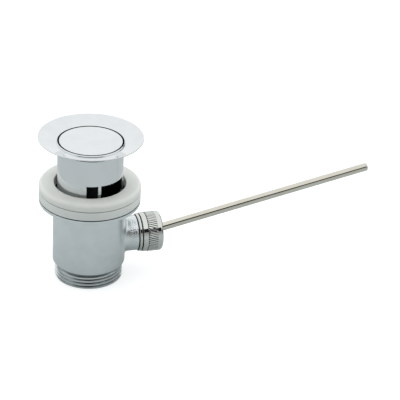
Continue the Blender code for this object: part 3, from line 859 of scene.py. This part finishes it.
# %% The casting's sizes
BARREL_R = 22.3
BARREL_TOP = 50.8
NECK_R = 21.55
CAVITY_R = 20.25
TAIL_R = 19.6
TAIL_BORE_R = 17.3
BRANCH_R = 10.95
STUB_R = 10.3
SOCKET_BORE_R = 8.9
SOCKET_FLOOR = 29.3  # where the branch's wide bore ends, from the valve's axis
WATERWAY_R = 7.6
CAVITY_CONE = (10.5, 13.5)  # heights between which the tail's bore opens into the cavity
PAST = 2.0  # by which a cutting tool sticks out, so that it leaves no skin
body_low, body_high = span("body")
COLLAR_R = -body_low[0]
NECK_TOP = body_high[2]
STUB_END = body_high[0]
print("collar", round(COLLAR_R * 2, 1), "mm across")

# %% The branch and its fillet
ROOT_FILLET = 1.6
ROOT_STEPS = 10
RING_POINTS = 96


def branch_rings():
    """Rings of points along the branch, from inside the barrel out to the stub's mouth."""
    def ring(radius, place):
        points = []
        for i in range(RING_POINTS):
            turn = math.tau * i / RING_POINTS
            across = radius * math.cos(turn)
            height = BRANCH_HEIGHT / MM + radius * math.sin(turn)
            points.append(Vector((place(across), across, height)) * MM)
        return points

    def past_barrel(distance):
        return lambda across: math.sqrt(BARREL_R ** 2 - across ** 2) + distance

    rings = [ring(BRANCH_R + ROOT_FILLET, lambda across: BARREL_R / 2)]
    for i in range(ROOT_STEPS + 1):
        turn = math.pi / 2 * i / ROOT_STEPS
        rings.append(ring(BRANCH_R + ROOT_FILLET * (1 - math.sin(turn)),
                          past_barrel(ROOT_FILLET * (1 - math.cos(turn)))))
    for radius, distance in ((BRANCH_R, BRANCH_END - 0.3), (BRANCH_R - 0.3, BRANCH_END),
                             (STUB_R, BRANCH_END), (STUB_R, STUB_END - 0.5), (STUB_R - 0.5, STUB_END)):
        rings.append(ring(radius, lambda across, distance=distance: distance))
    return rings


def skin(name, rings):
    """Join rings of points into a closed tube."""
    shape = bmesh.new()
    rows = [[shape.verts.new(point) for point in ring] for ring in rings]
    for low, high in zip(rows, rows[1:]):
        for i in range(len(low)):
            shape.faces.new((low[i - 1], low[i], high[i], high[i - 1]))
    shape.faces.new(rows[0])
    shape.faces.new(rows[-1])
    return finished(name, shape, None, UPRIGHT)


print("branch:", len(branch_rings()), "rings")

# %% Join, hollow and dress the casting
def combined(piece, steps, name):
    """Join other solids to a piece or cut it with them, and drop them."""
    for operation, other in steps:
        step = piece.modifiers.new(other.name, "BOOLEAN")
        step.operation = operation
        step.object = other
        step.solver = "EXACT"
    result = frozen(piece, name, satin)
    for _, other in steps:
        bpy.data.objects.remove(other)
    return result


def cast_body():
    """Barrel, collar, neck and tail with the branch on and the ways cut out."""
    solid = turned("barrel", outline([
        (0.0, 0.0), (TAIL_R, 0.0, 0.5), (TAIL_R, BARREL_FOOT), (BARREL_R, BARREL_FOOT, 0.7),
        (BARREL_R, BARREL_TOP, 1.2), (COLLAR_R, BARREL_TOP, 0.45),
        (COLLAR_R, COLLAR_TOP, 0.3), (NECK_R, COLLAR_TOP), (NECK_R, NECK_TOP, 0.4), (0.0, NECK_TOP),
    ]), None)
    cavity = turned("cavity", outline([
        (0.0, -PAST), (TAIL_BORE_R, -PAST), (TAIL_BORE_R, CAVITY_CONE[0]),
        (CAVITY_R, CAVITY_CONE[1]), (CAVITY_R, NECK_TOP + PAST), (0.0, NECK_TOP + PAST),
    ]), None)
    bore = turned("branch_bore", outline([
        (0.0, 10.0), (WATERWAY_R, 10.0), (WATERWAY_R, SOCKET_FLOOR), (SOCKET_BORE_R, SOCKET_FLOOR),
        (SOCKET_BORE_R, STUB_END + PAST), (0.0, STUB_END + PAST),
    ]), None, ALONG_BRANCH, RING_POINTS)
    branch = skin("branch", branch_rings())
    steps = (("UNION", branch), ("DIFFERENCE", cavity), ("DIFFERENCE", bore))
    return combined(solid, steps, "cast_body")


body = cast_body()
dress(body, "drain", "body")

# %% [markdown]
# ## Threads by rule
# A thread is one ridge that climbs by its pitch each turn and sinks away at both ends where the tool
# leaves the metal. That is a rule, so Geometry Nodes draw it: a line is bent into a helix, a
# trapezium is swept along it with its wide side on the metal, and the same tree cuts the pipe thread
# of the tail and the small thread of the adjusting screw from different numbers. The pipe thread runs
# out past the tail's end, as a real one does, so what lies below the end is sawn off.

# %% A tree with named inputs
class Rule(Wiring):
    """A Geometry Nodes tree with named inputs."""

    def __init__(self, name, numbers, count):
        super().__init__(bpy.data.node_groups.new(name, "GeometryNodeTree"))
        self.tree.interface.new_socket("Geometry", in_out="OUTPUT", socket_type="NodeSocketGeometry")
        kinds = dict.fromkeys(numbers, "Float") | {count: "Int", "Material": "Material"}
        for label, kind in kinds.items():
            self.tree.interface.new_socket(label, in_out="INPUT", socket_type=f"NodeSocket{kind}")
        self.given = self.tree.nodes.new("NodeGroupInput")

    def number(self, label):
        return Value(self.tree, self.given.outputs[label])

    def bent_line(self, points, angle, radius, height):
        """Lay a line round the Z axis, through these angles, radii and heights."""
        line = self.node("GeometryNodeCurvePrimitiveLine")
        dense = self.node("GeometryNodeResampleCurve", sockets={
            "Curve": line.outputs[0], "Count": points})
        point = self.node("ShaderNodeCombineXYZ", sockets={
            0: angle.math("COSINE", angle) * radius, 1: angle.math("SINE", angle) * radius,
            2: height})
        bent = self.node("GeometryNodeSetPosition", sockets={
            "Geometry": dense.outputs[0], "Position": point.outputs[0]})
        upright = self.node("GeometryNodeSetCurveNormal", {"mode": "Z_UP"}, {"Curve": bent.outputs[0]})
        return upright.outputs[0]

    def close(self, shape):
        """End the tree in Realize Instances and Set Material."""
        real = self.node("GeometryNodeRealizeInstances", sockets={"Geometry": shape})
        painted = self.node("GeometryNodeSetMaterial", sockets={
            "Geometry": real.outputs[0], "Material": self.given.outputs["Material"]})
        self.node("NodeGroupOutput", sockets={"Geometry": painted.outputs[0]})

    def make(self, name, place, sharp=SHARP, **values):
        """Run the tree with these values and keep what it makes, laid in its place."""
        carrier = bpy.data.objects.new(name + "_rule", bpy.data.meshes.new(name + "_rule"))
        bpy.context.scene.collection.objects.link(carrier)
        run = carrier.modifiers.new(name, "NODES")
        run.node_group = self.tree
        for item in self.tree.interface.items_tree:
            if item.in_out == "INPUT":
                run[item.identifier] = values[item.name]
        return frozen(carrier, name, values["Material"], place, sharp)


print("rules ready")

# %% A tree that cuts threads
def thread_rule():
    """Tree for a ridge that climbs round the Z axis."""
    rule = Rule("thread", ("Root", "Depth", "Pitch", "Start", "Turns", "Run_out", "Foot_width",
                           "Crest_width"), "Points")
    turns = rule.value("GeometryNodeSplineParameter", "Factor") * rule.number("Turns")
    left = rule.number("Turns") - turns
    cut_in = turns.math("MINIMUM", turns / rule.number("Run_out"), 1.0)
    cut_out = left.math("MINIMUM", left / rule.number("Run_out"), 1.0)
    radius = rule.number("Root") - (1 - cut_in * cut_out) * rule.number("Depth")
    height = rule.number("Start") + turns * rule.number("Pitch")
    helix = rule.bent_line(rule.number("Points"), turns * math.tau, radius, height)
    tooth = rule.node("GeometryNodeCurvePrimitiveQuadrilateral", {"mode": "TRAPEZOID"}, {
        "Bottom Width": rule.number("Foot_width"), "Top Width": rule.number("Crest_width"),
        "Height": rule.number("Depth"), "Offset": 0.0})
    outward = rule.node("GeometryNodeTransform", sockets={
        "Geometry": tooth.outputs[0], "Rotation": (0.0, 0.0, -math.pi / 2)})
    ridge = rule.node("GeometryNodeCurveToMesh", sockets={
        "Curve": helix, "Profile Curve": outward.outputs[0], "Fill Caps": True})
    rule.close(ridge.outputs[0])
    return rule


threads = thread_rule()
print("thread tree with", len(threads.tree.nodes), "nodes")

# %% The tail's thread
PIPE_PITCH = 2.309
PIPE_CREST_R = 20.955
PIPE_DEPTH = 1.48


def sawn_off(piece, height):
    """Cut away what lies below a height, and close the cut."""
    shape = bmesh.new()
    shape.from_mesh(piece.data)
    cut = bmesh.ops.bisect_plane(shape, geom=shape.verts[:] + shape.edges[:] + shape.faces[:],
                                 plane_co=(0, 0, height), plane_no=(0, 0, -1), clear_outer=True)
    bmesh.ops.holes_fill(shape, edges=[e for e in cut["geom_cut"] if isinstance(e, bmesh.types.BMEdge)])
    bmesh.ops.recalc_face_normals(shape, faces=shape.faces)
    shape.to_mesh(piece.data)
    shape.free()
    piece.data.set_sharp_from_angle(angle=SHARP)


pipe_metal = cut_thread("cut_thread", SATIN, PIPE_CREST_R - 1.05, PIPE_CREST_R - 0.05)
tail_thread = threads.make("tail_thread", UPRIGHT, Root=(PIPE_CREST_R - PIPE_DEPTH / 2) * MM,
                           Depth=PIPE_DEPTH * MM, Pitch=PIPE_PITCH * MM, Start=-1.35 * MM, Turns=4.61,
                           Run_out=0.3, Foot_width=1.95 * MM, Crest_width=0.8 * MM, Points=640,
                           Material=pipe_metal)
sawn_off(tail_thread, tail_end + 0.02 * MM)
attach(tail_thread, "drain")
heights = [round((v.co.z - tail_end) / MM, 2) for v in tail_thread.data.vertices]
print("tail thread from", min(heights), "to", max(heights), "mm")

# %% [markdown]
# ## The nut on the branch
# The nut is a turned cap with a plain band, a band of slanted flutes for the fingers, and a full
# round at its front. What stands up between two flutes is a narrow flat land. The lands repeat, so a
# tree makes one, tapers its ends and deals out fifty-four of them round the branch. The flutes between
# them and the inside of the nut lie in shade, and that shade is painted dark into the plate.

# %% The nut and its ring
nut_low, nut_high = span("gland_nut", ALONG_BRANCH)
clamp_low, clamp_high = span("gland_ring", ALONG_BRANCH)
NUT_R = 12.1
NUT_BORE_R = 10.6
NUT_HOLE_R = 5.2
BAND_END = 35.3
FLUTES_END = 41.3
NUT_WALL = 42.8  # inner side of the front wall, from the valve's axis
NUT_STEP = 40.0  # where the nut's thread ends and its narrower seat starts
NUT_STEP_R = 8.9
FLUTE_BED = 0.12
CREST_R = 12.32
SPLIT = 0.25  # by which the ring stays back from the nut, so that a dark line parts them
NUT_PLATE = (0.71, 0.735, 0.70)


def between_flutes(chrome):
    """1 in the grooves between the flutes and inside the nut, where shade is painted in."""
    height = chrome.z / MM - (tail_end + BRANCH_HEIGHT) / MM
    reach = (chrome.y ** 2 / MM ** 2 + height ** 2) ** 0.5
    along = chrome.x / MM
    in_band = (along > BAND_END) * (along < FLUTES_END)
    grooves = (1 - reach.ramp(NUT_R - 0.02, NUT_R + 0.15)) * in_band
    inside = (1 - reach.ramp(NUT_BORE_R + 0.6, NUT_BORE_R + 0.9)) * (along < nut_high[2] - 2.5)
    return 1 - (1 - grooves) * (1 - inside)


nut_chrome = polished_chrome("nut_chrome", NUT_PLATE, between_flutes)
nut = turned("fluted_nut", outline([
    (NUT_BORE_R, nut_low[2], 0.2), (NUT_R, nut_low[2], 0.3), (NUT_R, BAND_END - 0.15, 0.15),
    (NUT_R - FLUTE_BED, BAND_END), (NUT_R - FLUTE_BED, FLUTES_END - 0.2), (CREST_R, FLUTES_END, 0.1),
    (CREST_R, nut_high[2], 2.3), (NUT_HOLE_R, nut_high[2], 0.3),
    (NUT_HOLE_R, NUT_WALL), (NUT_STEP_R, NUT_WALL), (NUT_STEP_R, NUT_STEP), (NUT_BORE_R, NUT_STEP),
]), nut_chrome, ALONG_BRANCH)
dress(nut, "drain", "gland_nut")
clamp = turned("clamp_ring", outline([
    (NUT_BORE_R, clamp_low[2], 0.15), (clamp_high[0] - 0.4, clamp_low[2], 0.15),
    (clamp_high[0], clamp_low[2] + 0.4, 0.2), (clamp_high[0], clamp_high[2] - SPLIT, 0.25),
    (NUT_BORE_R, clamp_high[2] - SPLIT, 0.15),
]), nut_chrome, ALONG_BRANCH)
dress(clamp, "drain", "gland_ring")

# %% A tree that deals out lands
LAND_POINTS = 20
LAND_EASE = 0.3  # of the depth, for the rounding of a land's edges
LAND_TAPER = (0.3, 14)  # size left at the ends, and how late the taper starts


def flute_rule():
    """Tree for slanted lands dealt out round the Z axis."""
    rule = Rule("flutes", ("Reach", "Foot", "Length", "Slant", "Depth", "Top_width", "Foot_width"),
                "Count")
    share = rule.value("GeometryNodeSplineParameter", "Factor")
    line = rule.bent_line(LAND_POINTS, (share - 0.5) * rule.number("Slant"), rule.number("Reach"),
                          rule.number("Foot") + share * rule.number("Length"))
    from_end = 1 - ((share - 0.5) * 2) ** LAND_TAPER[1]
    land = rule.node("GeometryNodeCurvePrimitiveQuadrilateral", {"mode": "TRAPEZOID"}, {
        "Bottom Width": rule.number("Top_width"), "Top Width": rule.number("Foot_width"),
        "Height": rule.number("Depth"), "Offset": 0.0})
    eased = rule.node("GeometryNodeFilletCurve", {"mode": "POLY"}, {
        "Curve": land.outputs[0], "Count": 2, "Radius": rule.number("Depth") * LAND_EASE})
    outward = rule.node("GeometryNodeTransform", sockets={
        "Geometry": eased.outputs[0], "Rotation": (0.0, 0.0, math.pi / 2)})
    solid = rule.node("GeometryNodeCurveToMesh", sockets={
        "Curve": line, "Profile Curve": outward.outputs[0],
        "Scale": LAND_TAPER[0] + from_end * (1 - LAND_TAPER[0]), "Fill Caps": True})
    spots = rule.node("GeometryNodePoints", sockets={"Count": rule.number("Count")})
    index = rule.value("GeometryNodeInputIndex", "Index")
    turn = rule.node("ShaderNodeCombineXYZ", sockets={2: index * math.tau / rule.number("Count")})
    ring = rule.node("GeometryNodeInstanceOnPoints", sockets={
        "Points": spots.outputs[0], "Instance": solid.outputs[0], "Rotation": turn.outputs[0]})
    rule.close(ring.outputs[0])
    return rule


lands = flute_rule()
print("flute tree with", len(lands.tree.nodes), "nodes")

# %% The flutes
FLUTE_COUNT = 54
FLUTE_DEPTH = 0.5
FLUTE_SLANT = math.radians(10.5)
LAND_TOP = 1.12  # width
LAND_FOOT = 0.86
LAND_SHARP = math.radians(10)

flutes = lands.make("nut_flutes", ALONG_BRANCH, LAND_SHARP, Count=FLUTE_COUNT,
                    Reach=(CREST_R - FLUTE_DEPTH / 2) * MM, Foot=(BAND_END + 0.05) * MM,
                    Length=(FLUTES_END - BAND_END + 0.25) * MM, Slant=FLUTE_SLANT,
                    Depth=FLUTE_DEPTH * MM, Top_width=LAND_TOP * MM, Foot_width=LAND_FOOT * MM,
                    Material=nut_chrome)
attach(flutes, "drain")
print("flutes:", len(flutes.data.polygons), "faces")

# %% [markdown]
# ## The lever's rod
# A plain drawn rod with rounded ends. It slopes up by almost thirteen degrees while the stopper is
# shut, so it is turned about its own axis and laid along that slope through the middle of the ball.

# %% The lever's rod
PIVOT_REACH = 37.0 * MM
ALONG_ROD = (Matrix.Translation((PIVOT_REACH, 0, tail_end + BRANCH_HEIGHT))
             @ Matrix.Rotation(math.pi / 2 - ROD_SLOPE, 4, "Y"))
ROD_R = 2.5
ROD_INNER = -40.5
ROD_OUTER = 146.9
ROD_ROUND = 1.6
ROD_FACETS = 96
rod = turned("drawn_rod", outline([
    (0.0, ROD_INNER), (ROD_R, ROD_INNER, ROD_ROUND), (ROD_R, ROD_OUTER, ROD_ROUND), (0.0, ROD_OUTER),
]), nickel, ALONG_ROD, ROD_FACETS)
dress(rod, "lever", "lever_rod")

# %% The adjusting screw's thread
SCREW_R = 2.5
SCREW_THREAD_FOOT = span("stem_screw")[0][2] + 8.6
screw_thread = threads.make("screw_thread", UPRIGHT, Root=(SCREW_R + 0.05) * MM, Depth=0.3 * MM,
                            Pitch=0.8 * MM, Start=SCREW_THREAD_FOOT * MM, Turns=3.0, Run_out=0.3,
                            Foot_width=0.6 * MM, Crest_width=0.12 * MM, Points=160, Material=brass)
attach(screw_thread, "stopper")
print("screw's thread starts", round(SCREW_THREAD_FOOT, 2), "mm up")

# %% [markdown]
# ## The pieces inside
# Seats, ball, seals, guide and screw hardly show, but they do when the stopper is up or someone looks
# through a window. Each keeps its mesh and gets its finish.

# %% Paint the inner pieces
for name, material in (("seat_washer", black_rubber), ("stopper_seal", black_rubber),
                       ("inner_seat", seat_plastic), ("outer_seat", seat_plastic),
                       ("lever_ball", seat_plastic), ("stopper_guide", guide_plastic),
                       ("stem_screw", brass), ("lock_nut", brass)):
    nodes[name].material_slots[0].material = material
print("painted the inner pieces")
